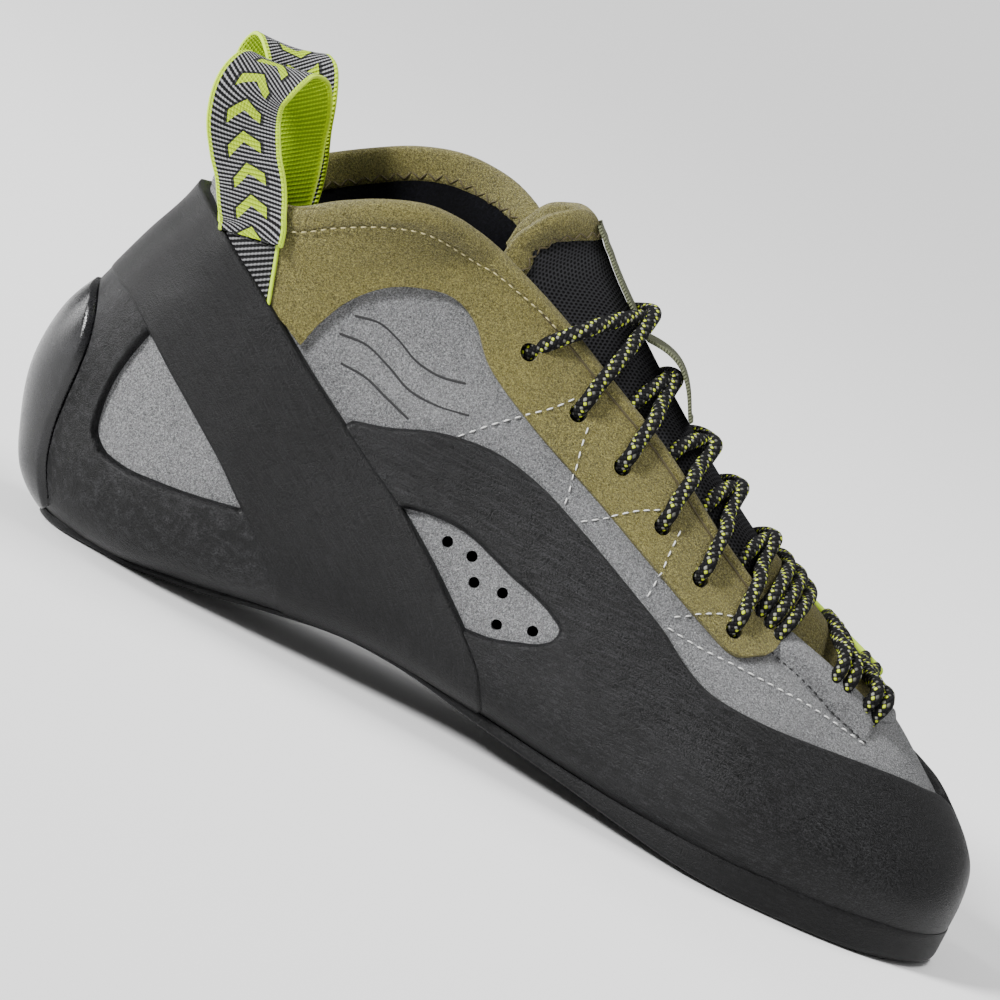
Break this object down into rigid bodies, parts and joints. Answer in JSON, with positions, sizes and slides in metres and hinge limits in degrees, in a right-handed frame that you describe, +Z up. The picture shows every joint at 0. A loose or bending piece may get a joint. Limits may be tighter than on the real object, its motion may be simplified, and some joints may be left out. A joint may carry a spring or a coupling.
{
  "type": "climbing shoe",
  "caption": "Lace-up climbing shoe for the right foot: grey suede upper, olive collar, black rubber rands, sling strap, sole and ribbed pull loops.",
  "frame": {"origin": "centre of the flat spot under the heel, on the ground", "axes": "+Z up, +X from heel to toe, +Y toward the medial (big toe) side; the shoe is a right one"},
  "size_m": [0.2696, 0.093, 0.1365],
  "materials": {
    "grey_suede": "brushed suede",
    "olive_suede": "brushed suede",
    "black_rubber": "satin with fine buffing lines",
    "heel_rubber": "smooth moulded, slightly glossy",
    "black_mesh": "knitted spacer mesh",
    "insole_board": "fibre board",
    "webbing": "ribbed grosgrain",
    "keeper_webbing": "woven tape",
    "lace_cord": "round braid"
  },
  "bodies": {
    "root": {"upper": "grey_suede", "outsole": "black_rubber", "insole": "insole_board", "tongue": "black_mesh", "sling_strap": "black_rubber", "front_rand": "black_rubber", "heel_rand_lateral": "black_rubber", "heel_rand_medial": "black_rubber", "heel_patch": "heel_rubber", "facing_lateral": "olive_suede", "facing_medial": "olive_suede", "lace_crossing_1": "lace_cord", "lace_crossing_2": "lace_cord", "lace_crossing_3": "lace_cord", "lace_crossing_4": "lace_cord", "lace_crossing_5": "lace_cord", "lace_bar_1": "lace_cord", "lace_bar_2": "lace_cord", "lace_bar_3": "lace_cord", "lace_keeper": "keeper_webbing", "pull_loop_lateral": "webbing", "pull_loop_medial": "webbing"}
  },
  "joints": []
}
